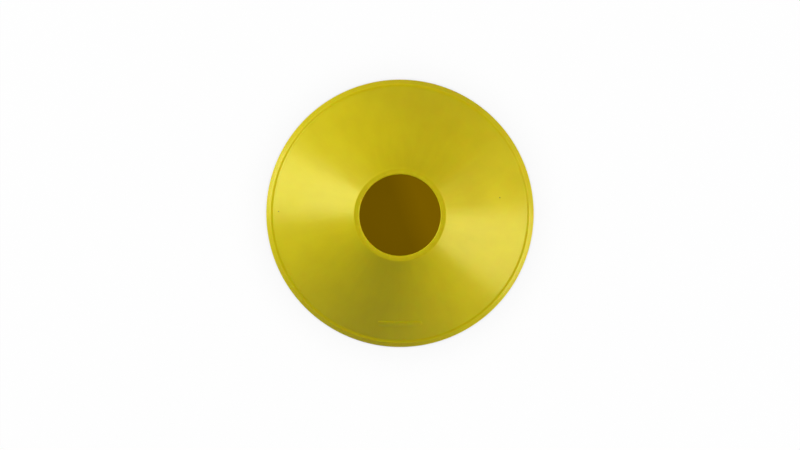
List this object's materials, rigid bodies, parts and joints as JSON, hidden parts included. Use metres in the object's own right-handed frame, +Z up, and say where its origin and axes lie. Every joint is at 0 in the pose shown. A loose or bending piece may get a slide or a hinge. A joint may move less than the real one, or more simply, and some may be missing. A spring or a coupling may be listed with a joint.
{
  "type": "disc marker cone",
  "caption": "Low open-topped marker cone of soft yellow plastic, with a round hole through its flat collar and a thicker rim to stand on; stacks with others of its kind.",
  "frame": {"origin": "on the ground, at the middle of the round base", "axes": "+Z up along the axis of the cone, -Y towards the front, where the blank name pad is, +X to the right seen from the front"},
  "size_m": [0.19, 0.19, 0.05],
  "materials": {
    "soft_plastic": "satin yellow polyethylene, as moulded"
  },
  "bodies": {
    "root": {"base_rim": "soft_plastic", "cone_wall": "soft_plastic", "top_collar": "soft_plastic", "name_pad": "soft_plastic"}
  },
  "joints": []
}
